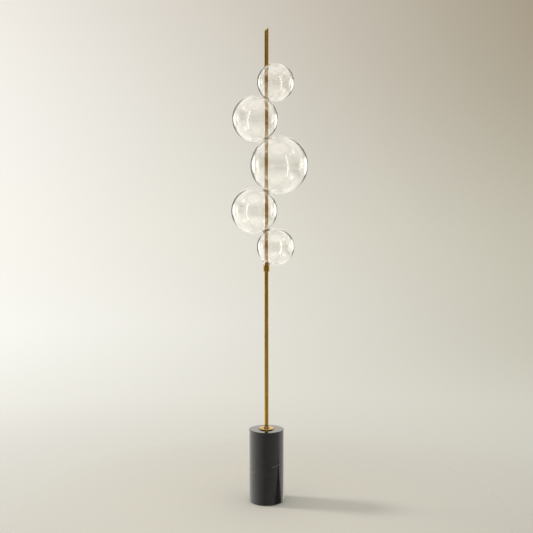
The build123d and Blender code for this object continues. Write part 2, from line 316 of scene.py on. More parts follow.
def colourRamp(tree, value, stops):
    low = stops[0][0]
    high = stops[-1][0]
    made = addNode(tree, "ShaderNodeValToRGB", {"Fac": between(tree, value, low, high)})
    elements = made.color_ramp.elements
    while len(elements) < len(stops):
        elements.new(0.5)
    for element, (at, tone) in zip(elements, stops):
        element.position = (at - low) / (high - low)
        element.color = colour(tone) if isinstance(tone, str) else [tone, tone, tone, 1.0]
    return made.outputs["Color"]


def backdropColour(tree, azimuth, elevation, setup):
    middle = colourRamp(tree, elevation, setup["stops"])
    # painted light: the left side is made lighter and the right side darker
    aside = calc(tree, "SUBTRACT", 180, calc(tree, "ABSOLUTE", azimuth))
    aside = calc(tree, "MULTIPLY", aside, calc(tree, "SIGN", azimuth))
    share = calc(tree, "DIVIDE", aside, setup["reach"])
    held = clamped(tree, share, -setup["hold"], setup["hold"])
    strength = shift(tree, 1.0, ease(tree, elevation, *setup["tiltFall"]), setup["tiltLow"])
    rise = ease(tree, elevation, *setup["tiltRise"])
    tilt = blendColour(tree, rise, [*setup["tilt"], 1.0], [*setup["tiltHigh"], 1.0])
    tilt = scaled(tree, tilt, calc(tree, "MULTIPLY", held, strength))
    return vectorCalc(tree, "MULTIPLY", middle, vectorCalc(tree, "SUBTRACT", (1, 1, 1), tilt))


def roomLevel(tree, direction, offRear, elevation, setup):
    level = colourRamp(tree, elevation, setup["byHeight"])
    near = vectorCalc(tree, "DOT_PRODUCT", direction, setup["overhead"])
    edge = [math.cos(math.radians(setup["overheadHalf"] + way * setup["overheadSoft"])) for way in (1, -1)]
    level = shift(tree, level, ease(tree, near, *edge), setup["overheadLevel"])
    shoulder = band(tree, offRear, *setup["shoulderAcross"])
    shoulder = calc(tree, "MULTIPLY", shoulder, band(tree, elevation, *setup["shoulderUp"]))
    level = shift(tree, level, shoulder, setup["shoulder"])
    half, soft = setup["rearHalf"], setup["rearSoft"]
    dark = band(tree, offRear, half, setup["gapEnd"], soft)
    dark = calc(tree, "MULTIPLY", dark, band(tree, elevation, *setup["gapUp"]))
    level = shift(tree, level, dark, setup["gap"])
    rear = shift(tree, setup["rear"], band(tree, elevation, *setup["rearBandUp"]), setup["rearBand"])
    return shift(tree, level, ease(tree, offRear, half + soft, half - soft), rear)


def stoneLevel(tree, azimuth, elevation, paintedShadow):
    level = colourRamp(tree, azimuth, besideStone)
    down = calc(tree, "SUBTRACT", paintedShadow["top"], elevation)
    down = clamped(tree, down, 0, paintedShadow["depth"])
    half = calc(tree, "MULTIPLY_ADD", calc(tree, "MULTIPLY", down, down), paintedShadow["spread"], paintedShadow["halfWidth"])
    aside = calc(tree, "ABSOLUTE", calc(tree, "SUBTRACT", azimuth, paintedShadow["azimuth"]))
    # painted shadow: the level that the stone reflects drops inside the wedge
    mask = ease(tree, calc(tree, "DIVIDE", aside, half), *paintedShadow["edge"])
    under = ease(tree, elevation, *[paintedShadow["top"] + reach for reach in paintedShadow["topEdge"]])
    return shift(tree, level, calc(tree, "MULTIPLY", mask, under), paintedShadow["level"])


def ovalLights(tree, azimuth, elevation, lights, edge):
    total = 0.0
    for side, height, halfWidth, halfHeight, level in lights:
        aside = calc(tree, "DIVIDE", calc(tree, "SUBTRACT", azimuth, side), halfWidth)
        up = calc(tree, "DIVIDE", calc(tree, "SUBTRACT", elevation, height), halfHeight)
        mask = ease(tree, vectorCalc(tree, "LENGTH", together(tree, X=aside, Y=up)), *edge)
        total = calc(tree, "MAXIMUM", total, calc(tree, "MULTIPLY", mask, level))
    return total


def buildWorld(backdropSetup, setup, paintedShadow, lights):
    world = bpy.data.worlds.new("studio")
    bpy.context.scene.world = world
    world.use_nodes = True
    tree = world.node_tree
    tree.nodes.clear()
    direction = addNode(tree, "ShaderNodeTexCoord").outputs["Generated"]
    parts = apart(tree, direction)
    elevation = calc(tree, "DEGREES", calc(tree, "ARCSINE", parts["Z"]))
    azimuth = calc(tree, "DEGREES", calc(tree, "ARCTAN2", parts["X"], calc(tree, "MULTIPLY", parts["Y"], -1)))
    offRear = calc(tree, "SUBTRACT", 180, calc(tree, "ABSOLUTE", azimuth))

    backdrop = backdropColour(tree, azimuth, elevation, backdropSetup)
    level = roomLevel(tree, direction, offRear, elevation, setup)
    level = calc(tree, "MAXIMUM", level, ovalLights(tree, azimuth, elevation, lights, setup["lightEdge"]))
    over = ease(tree, elevation, *setup["stoneOver"])
    low = calc(tree, "MULTIPLY", over, ease(tree, elevation, *setup["stoneUnder"]))
    level = shift(tree, level, low, stoneLevel(tree, azimuth, elevation, paintedShadow))
    room = scaled(tree, setup["warmth"], level)
    dim = shift(tree, setup["rear"], band(tree, elevation, *setup["glassRearUp"]), setup["gap"])
    rearGap = band(tree, offRear, setup["rearHalf"], setup["glassGapEnd"], setup["rearSoft"])
    panelGap = ease(tree, calc(tree, "PINGPONG", azimuth, 180 / setup["panels"]), *setup["panelEdge"])
    gaps = calc(tree, "MAXIMUM", rearGap, panelGap)
    throughGlass = blendColour(tree, gaps, backdrop, scaled(tree, setup["warmth"], dim))

    path = addNode(tree, "ShaderNodeLightPath").outputs
    reflected = calc(tree, "GREATER_THAN", path["Glossy Depth"], 0.5)
    seen = blendColour(tree, path["Is Transmission Ray"], backdrop, throughGlass)
    seen = blendColour(tree, reflected, seen, room)
    plain = [c * setup["plain"] for c in setup["plainWarmth"]] + [1.0]
    seen = blendColour(tree, path["Is Diffuse Ray"], seen, plain)
    background = addNode(tree, "ShaderNodeBackground", {"Color": seen, "Strength": 1.0})
    output = addNode(tree, "ShaderNodeOutputWorld")
    tree.links.new(background.outputs[0], output.inputs[0])


# Sun: soft, from the left and a little behind, for the base's shadow

sunSetup = {
    "strength": 1.15,
    "colour": (1.0, 0.97, 0.92),
    "softness": 12,
    "from": (-2.1, 0.45, 1.40),
}


def placeSun(setup):
    data = bpy.data.lights.new("sun", "SUN")
    data.energy = setup["strength"]
    data.angle = math.radians(setup["softness"])
    data.color = setup["colour"]
    lamp = addObject("sun", data)
    lamp.rotation_euler = Vector(setup["from"]).to_track_quat("Z", "Y").to_euler()
    lamp.visible_glossy = False
    lamp.visible_transmission = False


buildWorld(backdropSetup, roomSetup, paintedShadowSetup, sideLights)
placeSun(sunSetup)
bpy.context.scene.view_settings.view_transform = "Standard"
print("studio lit")


# Finishes that several materials share

# each noise row gives detail and roughness, and each edge row the levels between which a mask goes from 0 to 1
finishSetup = {
    "lineDetail": 2.0,
    "markNoise": (4.0, 0.6),
    "markEdge": (0.38, 0.66),
    "driftNoise": (5.0, 0.6),
    "driftEdge": (0.32, 0.70),
    "speckNoise": (2.0, 0.7),
    "speckEdge": (0.62, 0.74),
    "patchScale": 14.0,
    "patchEdge": (0.40, 0.65),
}


def makeHairlines(setup):
    tree, entry, result = openGroup(
        "hairlines",
        "ShaderNodeTree",
        [("Place", "Vector", None), ("Across", "Float", 2600), ("Along", "Float", 12)],
        [("Height", "Float")],
    )
    parts = apart(tree, entry["Place"])
    stretched = together(
        tree,
        X=calc(tree, "MULTIPLY", parts["X"], entry["Across"]),
        Y=calc(tree, "MULTIPLY", parts["Y"], entry["Across"]),
        Z=calc(tree, "MULTIPLY", parts["Z"], entry["Along"]),
    )
    tree.links.new(noise(tree, stretched, 1.0, setup["lineDetail"]), result["Height"])
    return tree


def makeTurningLines(setup):
    tree, entry, result = openGroup(
        "turning lines",
        "ShaderNodeTree",
        [("Place", "Vector", None), ("Per Metre", "Float", 3000)],
        [("Height", "Float")],
    )
    parts = apart(tree, entry["Place"])
    reach = vectorCalc(tree, "LENGTH", together(tree, X=parts["X"], Y=parts["Y"]))
    ring = together(
        tree,
        X=calc(tree, "MULTIPLY", reach, entry["Per Metre"]),
        Z=calc(tree, "MULTIPLY", parts["Z"], entry["Per Metre"]),
    )
    tree.links.new(noise(tree, ring, 1.0, setup["lineDetail"]), result["Height"])
    return tree


def makeHandling(setup):
    tree, entry, result = openGroup(
        "handling marks",
        "ShaderNodeTree",
        [("Place", "Vector", None), ("Scale", "Float", 18), ("Roughness", "Float", 0.25), ("Spread", "Float", 0.08)],
        [("Roughness", "Float")],
    )
    mask = ease(tree, noise(tree, entry["Place"], entry["Scale"], *setup["markNoise"]), *setup["markEdge"])
    change = calc(tree, "MULTIPLY", calc(tree, "SUBTRACT", mask, 0.5), entry["Spread"])
    tree.links.new(calc(tree, "ADD", entry["Roughness"], change), result["Roughness"])
    return tree


def makeDrift(setup):
    tree, entry, result = openGroup(
        "colour drift",
        "ShaderNodeTree",
        [("Place", "Vector", None), ("Scale", "Float", 20), ("Colour", "Color", None), ("Other", "Color", None)],
        [("Colour", "Color")],
    )
    mask = ease(tree, noise(tree, entry["Place"], entry["Scale"], *setup["driftNoise"]), *setup["driftEdge"])
    tree.links.new(blendColour(tree, mask, entry["Colour"], entry["Other"]), result["Colour"])
    return tree


def makeDust(setup):
    tree, entry, result = openGroup(
        "dust",
        "ShaderNodeTree",
        [
            ("Place", "Vector", None),
            ("Scale", "Float", 900),
            ("Amount", "Float", 0.1),
            ("Colour", "Color", None),
            ("Dust", "Color", (0.5, 0.48, 0.44, 1)),
        ],
        [("Colour", "Color")],
    )
    specks = ease(tree, noise(tree, entry["Place"], entry["Scale"], *setup["speckNoise"]), *setup["speckEdge"])
    patches = ease(tree, noise(tree, entry["Place"], setup["patchScale"]), *setup["patchEdge"])
    mask = calc(tree, "MULTIPLY", calc(tree, "MULTIPLY", specks, patches), entry["Amount"])
    tree.links.new(blendColour(tree, mask, entry["Colour"], entry["Dust"]), result["Colour"])
    return tree


hairlines = makeHairlines(finishSetup)
turningLines = makeTurningLines(finishSetup)
handling = makeHandling(finishSetup)
drift = makeDrift(finishSetup)
dust = makeDust(finishSetup)


def startMaterial(name):
    material = bpy.data.materials.new(name)
    material.use_nodes = True
    tree = material.node_tree
    place = addNode(tree, "ShaderNodeTexCoord").outputs["Object"]
    return material, tree, tree.nodes["Principled BSDF"], place


def give(tree, surface, feeds):
    for key, value in feeds.items():
        feed(tree, surface.inputs[key], value)


def drifting(tree, place, scale, first, second):
    feeds = {"Place": place, "Scale": scale, "Colour": colour(first), "Other": colour(second)}
    return useGroup(tree, drift, feeds).outputs["Colour"]


def worn(tree, place, scale, roughness, spread):
    feeds = {"Place": place, "Scale": scale, "Roughness": roughness, "Spread": spread}
    return useGroup(tree, handling, feeds).outputs["Roughness"]


def mixWithClear(tree, surface, share, tint):
    clear = addNode(tree, "ShaderNodeBsdfTransparent", {"Color": tint})
    mix = addNode(tree, "ShaderNodeMixShader", {0: share, 1: surface.outputs[0], 2: clear.outputs[0]})
    tree.links.new(mix.outputs[0], tree.nodes["Material Output"].inputs["Surface"])


def emboss(tree, surface, height, distance, strength=1.0):
    bump = addNode(tree, "ShaderNodeBump", {"Height": height, "Distance": distance, "Strength": strength})
    tree.links.new(bump.outputs[0], surface.inputs["Normal"])


# Brass: satin, drawn lengthwise on the tubes and turned on the discs

brassFinish = {
    "colour": "a8843c",
    "deeper": "97742f",
    "edgeTint": "fff8ea",
    "driftScale": 9.0,
    "roughness": 0.23,
    "spread": 0.07,
    "markScale": 26.0,
    "lineDepth": 0.012 * mm,
    "lineStrength": 0.6,
}

flangeFinish = {"colour": "bba06a", "deeper": "b0935c"}


def makeBrass(name, lines, finish):
    material, tree, surface, place = startMaterial(name)
    grain = useGroup(tree, lines, {"Place": place})
    give(tree, surface, {
        "Base Color": drifting(tree, place, finish["driftScale"], finish["colour"], finish["deeper"]),
        "Roughness": worn(tree, place, finish["markScale"], finish["roughness"], finish["spread"]),
        "Metallic": 1.0,
        "Specular Tint": colour(finish["edgeTint"]),
    })
    emboss(tree, surface, grain.outputs["Height"], finish["lineDepth"], finish["lineStrength"])
    return material


# Stone: black, polished, with thin gold veins that run through it as sheets

stoneFinish = {
    "ground": "161517",
    "cloud": "201f21",
    "vein": "64533f",
    "paleVein": "8c857f",
    "driftScale": 34.0,
    "tintScale": 30.0,
    "tintEdge": (0.45, 0.6),
    "roughness": 0.07,
    "spread": 0.05,
    "markScale": 16.0,
    "dust": 0.05,
    "dustScale": 1400.0,
    "ior": 1.5,
    "rippleScale": 55.0,
    "ripple": 0.03 * mm,
    "rippleStrength": 0.35,
}

# each vein sheet: the way it faces, its distance from the origin, how far it wanders, half its width, how broken
veinSheets = [
    ((-0.291, 0.1, 1.0), 0.1318, 2.2 * mm, 0.42 * mm, 0.46),
    ((0.62, 0.5, 0.75), 0.0480, 7.0 * mm, 0.20 * mm, 0.58),
    ((-0.8, 0.55, 0.35), 0.0660, 9.0 * mm, 0.22 * mm, 0.60),
    ((0.9, 0.25, -0.3), 0.0100, 9.0 * mm, 0.16 * mm, 0.60),
]


# how every vein runs; each noise row gives scale, detail and roughness
veinShape = {
    "wanderNoise": (16.0, 4.0, 0.55),
    "wanderGain": 4,
    "widthNoise": (42.0, 2.0, 0.5),
    "widthLeast": 0.35,
    "widthGain": 1.3,
    "edge": (1.6, 0.5),         # in half widths from its middle
    "gapNoise": (24.0, 2.0, 0.5),
    "gapEdge": (-0.03, 0.06),
}


def makeVeinSheet(shape):
    tree, entry, result = openGroup(
        "vein sheet",
        "ShaderNodeTree",
        [
            ("Place", "Vector", None),
            ("Facing", "Vector", None),
            ("Distance", "Float", 0.1),
            ("Wander", "Float", 0.004),
            ("Half Width", "Float", 0.0004),
            ("Broken", "Float", 0.5),
        ],
        [("Mask", "Float")],
    )
    facing = vectorCalc(tree, "NORMALIZE", entry["Facing"])
    depth = calc(tree, "SUBTRACT", vectorCalc(tree, "DOT_PRODUCT", entry["Place"], facing), entry["Distance"])
    wander = calc(tree, "SUBTRACT", noise(tree, entry["Place"], *shape["wanderNoise"]), 0.5)
    wander = calc(tree, "MULTIPLY", wander, calc(tree, "MULTIPLY", entry["Wander"], shape["wanderGain"]))
    depth = calc(tree, "ADD", depth, wander)
    swell = calc(tree, "MULTIPLY", noise(tree, entry["Place"], *shape["widthNoise"]), shape["widthGain"])
    width = calc(tree, "MULTIPLY", entry["Half Width"], calc(tree, "ADD", shape["widthLeast"], swell))
    line = ease(tree, calc(tree, "DIVIDE", calc(tree, "ABSOLUTE", depth), width), *shape["edge"])
    shifted = vectorCalc(tree, "ADD", entry["Place"], entry["Facing"])
    gap = calc(tree, "SUBTRACT", noise(tree, shifted, *shape["gapNoise"]), entry["Broken"])
    tree.links.new(calc(tree, "MULTIPLY", line, ease(tree, gap, *shape["gapEdge"])), result["Mask"])
    return tree


def makeStone(finish, sheets, shape):
    material, tree, surface, place = startMaterial("polished black stone")
    veinSheet = makeVeinSheet(shape)
    ground = drifting(tree, place, finish["driftScale"], finish["ground"], finish["cloud"])
    veins = 0.0
    for facing, distance, wander, halfWidth, broken in sheets:
        sheet = useGroup(tree, veinSheet, {
            "Place": place,
            "Facing": facing,
            "Distance": distance,
            "Wander": wander,
            "Half Width": halfWidth,
            "Broken": broken,
        })
        veins = calc(tree, "MAXIMUM", veins, sheet.outputs["Mask"])
    paler = ease(tree, noise(tree, place, finish["tintScale"], 2.0), *finish["tintEdge"])
    tint = blendColour(tree, paler, colour(finish["vein"]), colour(finish["paleVein"]))
    marbled = blendColour(tree, veins, ground, tint)
    feeds = {"Place": place, "Scale": finish["dustScale"], "Amount": finish["dust"], "Colour": marbled}
    dusted = useGroup(tree, dust, feeds)
    give(tree, surface, {
        "Base Color": dusted.outputs["Colour"],
        "Roughness": worn(tree, place, finish["markScale"], finish["roughness"], finish["spread"]),
        "IOR": finish["ior"],
    })
    height = noise(tree, place, finish["rippleScale"], 2.0)
    emboss(tree, surface, height, finish["ripple"], finish["rippleStrength"])
    return material


# Clear glass and clear rings; lamps' light passes through them to the stem

glassFinish = {
    "tint": [1.0, 0.998, 0.99, 1.0],
    "otherTint": [0.995, 0.995, 0.985, 1.0],
    "tintScale": 7.0,
    "tintEdge": (0.4, 0.7),
    "ior": 1.45,
    "clarity": 0.993,           # the rest is a faint bloom on the glass
    "film": 0.5,                # a thin soft film that spreads bright reflections
    "filmRoughness": 0.16,
    "ripple": 0.05 * mm,
    "rippleNoise": (11.0, 2.0, 0.4),
    "letThrough": (0.93, 0.93, 0.92, 1),    # of the lamps' light
}

ringFinish = {
    "tint": [0.99, 0.97, 0.93, 1.0],
    "ior": 1.38,
    "roughness": 0.02,
    "spread": 0.02,
    "markScale": 120.0,
    "letThrough": (0.93, 0.93, 0.92, 1),
}


def letLampsThrough(tree, surface, tint):
    mixWithClear(tree, surface, addNode(tree, "ShaderNodeLightPath").outputs["Is Shadow Ray"], tint)


def makeGlass(finish):
    material, tree, surface, place = startMaterial("clear blown glass")
    other = ease(tree, noise(tree, place, finish["tintScale"], 2.0), *finish["tintEdge"])
    give(tree, surface, {
        "Base Color": blendColour(tree, other, finish["tint"], finish["otherTint"]),
        "Roughness": 0.0,
        "IOR": finish["ior"],
        "Transmission Weight": finish["clarity"],
        "Coat Weight": finish["film"],
        "Coat Roughness": finish["filmRoughness"],
    })
    emboss(tree, surface, noise(tree, place, *finish["rippleNoise"]), finish["ripple"])
    letLampsThrough(tree, surface, finish["letThrough"])
    return material


def makeClearRing(finish):
    material, tree, surface, place = startMaterial("clear ring")
    give(tree, surface, {
        "Base Color": finish["tint"],
        "Roughness": worn(tree, place, finish["markScale"], finish["roughness"], finish["spread"]),
        "IOR": finish["ior"],
        "Transmission Weight": 1.0,
    })
    letLampsThrough(tree, surface, finish["letThrough"])
    return material


# Window lens: frosted, lit from behind by a row of chips

lensFinish = {
    "body": "f4efe2",
    "glow": (1.0, 0.93, 0.80),
    "strength": 70.0,
    "focus": 1.6,               # how much the glow falls towards the side
    "chipPitch": 8 * mm,
    "ripple": 0.12,             # how much the glow falls between two chips
    "roughness": 0.5,
    "spread": 0.1,
    "markScale": 60.0,
}


def makeLens(finish):
    material, tree, surface, place = startMaterial("frosted lens")
    height = apart(tree, place)["Z"]
    wave = calc(tree, "COSINE", calc(tree, "MULTIPLY", height, fullTurn / finish["chipPitch"]))
    glow = calc(tree, "ADD", 1 - finish["ripple"], calc(tree, "MULTIPLY", wave, finish["ripple"]))
    facing = addNode(tree, "ShaderNodeLayerWeight", {"Blend": 0.5}).outputs["Facing"]
    straight = calc(tree, "POWER", calc(tree, "SUBTRACT", 1.0, facing), finish["focus"])
    give(tree, surface, {
        "Base Color": colour(finish["body"]),
        "Roughness": worn(tree, place, finish["markScale"], finish["roughness"], finish["spread"]),
        "Emission Color": scaled(tree, finish["glow"], calc(tree, "MULTIPLY", glow, straight)),
        "Emission Strength": finish["strength"],
    })
    return material


# Plain materials: a colour that drifts, a little dust, and a grain of their own

plainWear = {"driftScale": 40.0, "dust": 0.12, "spread": 0.12, "markScale": 55.0, "grainStrength": 0.6}

# each one's colour, the colour it drifts to, how metallic, its roughness, grain per metre and grain depth
plainFinishes = {
    "zinc steel": ("a9a9a6", "8f908f", 1.0, 0.34, 900, 0.010 * mm),
    "drawn aluminium": ("c9c9c8", "b6b7b8", 1.0, 0.3, 1500, 0.008 * mm),
    "black rubber": ("141414", "1e1d1c", 0.0, 0.62, 1800, 0.03 * mm),
    "white circuit board": ("e6e2d2", "d9d4c0", 0.0, 0.4, 1200, 0.01 * mm),
    "driver case": ("dcdbd6", "cfcec8", 0.0, 0.45, 1600, 0.02 * mm),
    "terminal plastic": ("cfcdc2", "c2c0b4", 0.0, 0.4, 1400, 0.015 * mm),
    "wire insulation": ("7d2a22", "6a211b", 0.0, 0.38, 800, 0.008 * mm),
}


def makePlain(name, finish, wear):
    first, second, metal, roughness, grain, depth = finish
    material, tree, surface, place = startMaterial(name)
    tone = drifting(tree, place, wear["driftScale"], first, second)
    dusted = useGroup(tree, dust, {"Place": place, "Amount": wear["dust"], "Colour": tone})
    give(tree, surface, {
        "Base Color": dusted.outputs["Colour"],
        "Roughness": worn(tree, place, wear["markScale"], roughness, wear["spread"]),
        "Metallic": metal,
    })
    emboss(tree, surface, noise(tree, place, grain, 2.0), depth, wear["grainStrength"])
    return material


drawnBrass = makeBrass("drawn brass", hairlines, brassFinish)
turnedBrass = makeBrass("turned brass", turningLines, brassFinish)
paleBrass = makeBrass("pale brass", turningLines, brassFinish | flangeFinish)
blackStone = makeStone(stoneFinish, veinSheets, veinShape)
clearGlass = makeGlass(glassFinish)
clearRing = makeClearRing(ringFinish)
frostedLens = makeLens(lensFinish)
plain = {name: makePlain(name, finish, plainWear) for name, finish in plainFinishes.items()}
print("materials made:", len(bpy.data.materials))


# Floor

floorSetup = {
    # painted light: the floor is paler on the left and darker on the right, as if light from the left fell on it
    "left": "ece9de",
    "right": "dcd9ce",
    "radius": 1.6,
    "fadeStart": 0.35,
    "fadeEnd": 1.3,
    "paintedLightReach": 0.9,           # from the stem to where the painted lighter left and darker right are full
    "segments": 96,
}


def layFloor(setup):
    shape = bmesh.new()
    bmesh.ops.create_circle(shape, cap_ends=True, segments=setup["segments"], radius=setup["radius"])
    mesh = bpy.data.meshes.new("floor")
    shape.to_mesh(mesh)
    shape.free()
    floor = addObject("floor", mesh)
    material, tree, surface, place = startMaterial("pale floor")
    reach = vectorCalc(tree, "LENGTH", place)
    # painted light: the tone goes from the lighter left to the darker right
    share = between(tree, apart(tree, place)["X"], -setup["paintedLightReach"], setup["paintedLightReach"])
    tone = blendColour(tree, share, colour(setup["left"]), colour(setup["right"]))
    give(tree, surface, {"Base Color": tone, "Roughness": 1.0, "Specular IOR Level": 0.0})
    mixWithClear(tree, surface, ease(tree, reach, setup["fadeStart"], setup["fadeEnd"]), (1, 1, 1, 1))
    mesh.materials.append(material)
    floor.visible_glossy = False


layFloor(floorSetup)


# Mesh helpers

meshRules = {
    "weld": 1e-7,
    "sharpAngle": 38,
    "arcSteps": 5,
    "longestCut": 0.4,          # of the shorter side beside a rounded corner
    "support": 1.5,             # of the cut, from the corner to the point that supports the arc
    "longestSupport": 0.47,
}


def roundedPath(corners, closed=True, rules=meshRules):
    # corners are (distance from the axis, height, rounding); each arc gets a support point before and after it
    path = []
    for i, (reach, height, rounding) in enumerate(corners):
        here = Vector((reach, height))
        if rounding == 0 or (not closed and i in (0, len(corners) - 1)):
            path.append(here)
            continue
        before = Vector(corners[i - 1][:2]) - here
        after = Vector(corners[(i + 1) % len(corners)][:2]) - here
        shorter = min(before.length, after.length)
        cut = min(rounding / math.tan(before.angle(after) / 2), rules["longestCut"] * shorter)
        support = min(rules["support"] * cut, rules["longestSupport"] * shorter)
        before.normalize()
        after.normalize()
        path.append(here + before * support)
        for step in range(rules["arcSteps"] + 1):
            along = step / rules["arcSteps"]
            path.append(here + before * cut * (1 - along) ** 2 + after * cut * along ** 2)
        path.append(here + after * support)
    return path


def finishMesh(name, shape, material, rules=meshRules):
    bmesh.ops.remove_doubles(shape, verts=shape.verts, dist=rules["weld"])
    bmesh.ops.recalc_face_normals(shape, faces=shape.faces)
    mesh = bpy.data.meshes.new(name)
    shape.to_mesh(mesh)
    shape.free()
    mesh.materials.append(material)
    mesh.shade_smooth()
    mesh.set_sharp_from_angle(angle=math.radians(rules["sharpAngle"]))
    return addObject(name, mesh)


def turnedPiece(name, profile, material, steps, closed=True):
    # the profile is the section's points, as (distance, height), or gives them at an angle round the stem
    shape = bmesh.new()
    rings = []
    for i in range(steps):
        angle = fullTurn * i / steps
        rings.append([
            shape.verts.new((reach * math.cos(angle), reach * math.sin(angle), height))
            for reach, height in (profile(angle) if callable(profile) else profile)
        ])
    for ring, following in zip(rings, rings[1:] + rings[:1]):
        for j in range(len(ring) if closed else len(ring) - 1):
            k = (j + 1) % len(ring)
            shape.faces.new((ring[j], following[j], following[k], ring[k]))
    return finishMesh(name, shape, material)


def settle(piece):
    # turns the piece and its modifiers into one plain mesh
    graph = bpy.context.evaluated_depsgraph_get()
    mesh = bpy.data.meshes.new_from_object(piece.evaluated_get(graph))
    piece.modifiers.clear()
    piece.data = mesh


def drillBit(radius, start, end, height, steps):
    # a rod along +Y, to cut with
    shape = bmesh.new()
    place = Matrix.Translation((0, (start + end) / 2, height)) @ Matrix.Rotation(math.pi / 2, 4, "X")
    bmesh.ops.create_cone(
        shape, cap_ends=True, segments=steps, radius1=radius, radius2=radius, depth=end - start, matrix=place
    )
    mesh = bpy.data.meshes.new("drill bit")
    shape.to_mesh(mesh)
    shape.free()
    for face in mesh.polygons:
        face.use_smooth = True
    return addObject("drill bit", mesh)


def drill(piece, bits, rules=meshRules):
    for bit in bits:
        cut = piece.modifiers.new("cut", "BOOLEAN")
        cut.operation = "DIFFERENCE"
        cut.solver = "EXACT"
        cut.object = bit
    settle(piece)
    for bit in bits:
        bpy.data.objects.remove(bit)
    piece.data.set_sharp_from_angle(angle=math.radians(rules["sharpAngle"]))


def mount(piece, node, body="stand"):
    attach(piece, body)
    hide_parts(node)


# Stone base, its foot pad and the inlet bush

stoneShape = {
    "edge": 1.5 * mm,
    "mouthEdge": 0.4 * mm,
    "socketClearance": 0.25 * mm,
    "tieHole": 5.5 * mm,
    "pocketClearance": 0.25 * mm,
    "pocketDepth": 2.4 * mm,
    "bushHole": 6.05 * mm,
    "spotFace": 8.25 * mm,
    "spotFaceDepth": 1.2 * mm,
    "steps": 192,
    "holeSteps": 64,
}


def makeStoneBase(shape):
    radius = highOf("stone_base").x
    bottom = lowOf("stone_base").z
    top = highOf("stone_base").z
    recess = lowOf("inlet_bush").y
    recessTop = highOf("clamp_washer").z
    pocket = highOf("bottom_plate").x + shape["pocketClearance"]
    socket = stemRadius + shape["socketClearance"]
    socketFloor = lowOf("foot_plug").z
    plateTop = bottom + shape["pocketDepth"]
    section = roundedPath([
        (shape["tieHole"], recessTop, 0),
        (recess, recessTop, 0),
        (recess, plateTop, 0),
        (pocket, plateTop, 0),
        (pocket, bottom, shape["mouthEdge"]),
        (radius, bottom, shape["edge"]),
        (radius, top, shape["edge"]),
        (socket, top, shape["mouthEdge"]),
        (socket, socketFloor, 0),
        (shape["tieHole"], socketFloor, 0),
    ])
    piece = turnedPiece("stoneDrum", section, blackStone, shape["steps"])
    outside = radius + shape["edge"]
    inlet = (lowOf("inlet_bush").z + highOf("inlet_bush").z) / 2
    drill(piece, [
        drillBit(shape["bushHole"], recess - shape["edge"], outside, inlet, shape["holeSteps"]),
        drillBit(shape["spotFace"], radius - shape["spotFaceDepth"], outside, inlet, shape["holeSteps"]),
    ])
    mount(piece, "stone_base")


footShape = {"edge": 0.6 * mm, "steps": 128}


def makeFootPad(shape):
    radius = highOf("foot_pad").x
    top = highOf("foot_pad").z
    section = roundedPath([(0, 0, 0), (radius, 0, shape["edge"]), (radius, top, shape["edge"]), (0, top, 0)], False)
    piece = turnedPiece("footPad", section, plain["black rubber"], shape["steps"], False)
    mount(piece, "foot_pad")


bushShape = {
    "bore": 3.7 * mm,
    "barrel": 6.0 * mm,
    "flangeThickness": 2.5 * mm,
    "edge": 0.8 * mm,
    "lip": 0.5 * mm,
    "steps": 64,
}


def makeInletBush(shape):
    low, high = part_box("inlet_bush")
    flange = (high.x - low.x) / 2
    step = high.y - shape["flangeThickness"]
    section = roundedPath([
        (shape["bore"], low.y, shape["lip"]),
        (shape["barrel"], low.y, shape["lip"]),
        (shape["barrel"], step, 0),
        (flange, step, shape["lip"] / 2),
        (flange, high.y, shape["edge"]),
        (shape["bore"], high.y, shape["edge"]),
    ])
    piece = turnedPiece("inletBush", section, plain["black rubber"], shape["steps"])
    toRear = Matrix.Translation((0, 0, (low.z + high.z) / 2)) @ Matrix.Rotation(-math.pi / 2, 4, "X")
    piece.data.transform(toRear)
    mount(piece, "inlet_bush")


makeStoneBase(stoneShape)
makeFootPad(footShape)
makeInletBush(bushShape)
print("stone base made")


# Brass: flange, lower stem, collar, upper stem with its windows, and the plug in the slanted tip

brassShape = {
    "wall": 1.5 * mm,
    "slideFit": 0.05 * mm,
    "hubRadius": 11.5 * mm,
    "hubRise": 5.5 * mm,
    "flangeChamfer": 0.8 * mm,
    "flangeEdge": 0.25 * mm,
    "collarEdge": 1.0 * mm,
    "tubeEdge": 0.2 * mm,
    "setScrewHole": 2.05 * mm,
    "mitreAngle": 45,
    "mitreTurn": 40,                # about the stem, from +X to the tip's high side
    "plugSink": 0.12 * mm,          # the plug's face sits this much inside the tube's
    "windowWidth": 7.0 * mm,
    "windowSteps": 6,
    "roundSteps": 14,
    "windowMargin": 3.0 * mm,
    "bevel": 0.13 * mm,
    "bevelAngle": 45,
    "bevelSteps": 2,
    "plugRings": (1, 0.96, 0.6, 0.3, 0),    # of the plug's radius
    "flangeSteps": 128,
    "tubeSteps": 80,
    "collarSteps": 96,
    "plugSteps": 64,
    "screwHoleSteps": 32,
}


def makeFlange(shape):
    low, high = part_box("base_flange")
    bore = stemRadius + shape["slideFit"]
    chamfer = shape["flangeChamfer"]
    edge = shape["flangeEdge"]
    hub = shape["hubRadius"]
    discTop = high.z - shape["hubRise"]
    section = roundedPath([
        (bore, low.z, 0),
        (high.x, low.z, edge),
        (high.x, discTop - chamfer, edge),
        (high.x - chamfer, discTop, edge),
        (hub, discTop, edge),
        (hub, high.z - chamfer, edge),
        (hub - chamfer, high.z, edge),
        (bore, high.z, edge),
    ])
    piece = turnedPiece("baseFlange", section, paleBrass, shape["flangeSteps"])
    mount(piece, "base_flange")


def makeLowerStem(shape):
    low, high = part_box("lower_stem")
    bore = stemRadius - shape["wall"]
    edge = shape["tubeEdge"]
    section = roundedPath([
        (bore, low.z, edge), (stemRadius, low.z, edge), (stemRadius, high.z, edge), (bore, high.z, edge)
    ])
    piece = turnedPiece("lowerStem", section, drawnBrass, shape["tubeSteps"])
    mount(piece, "lower_stem")


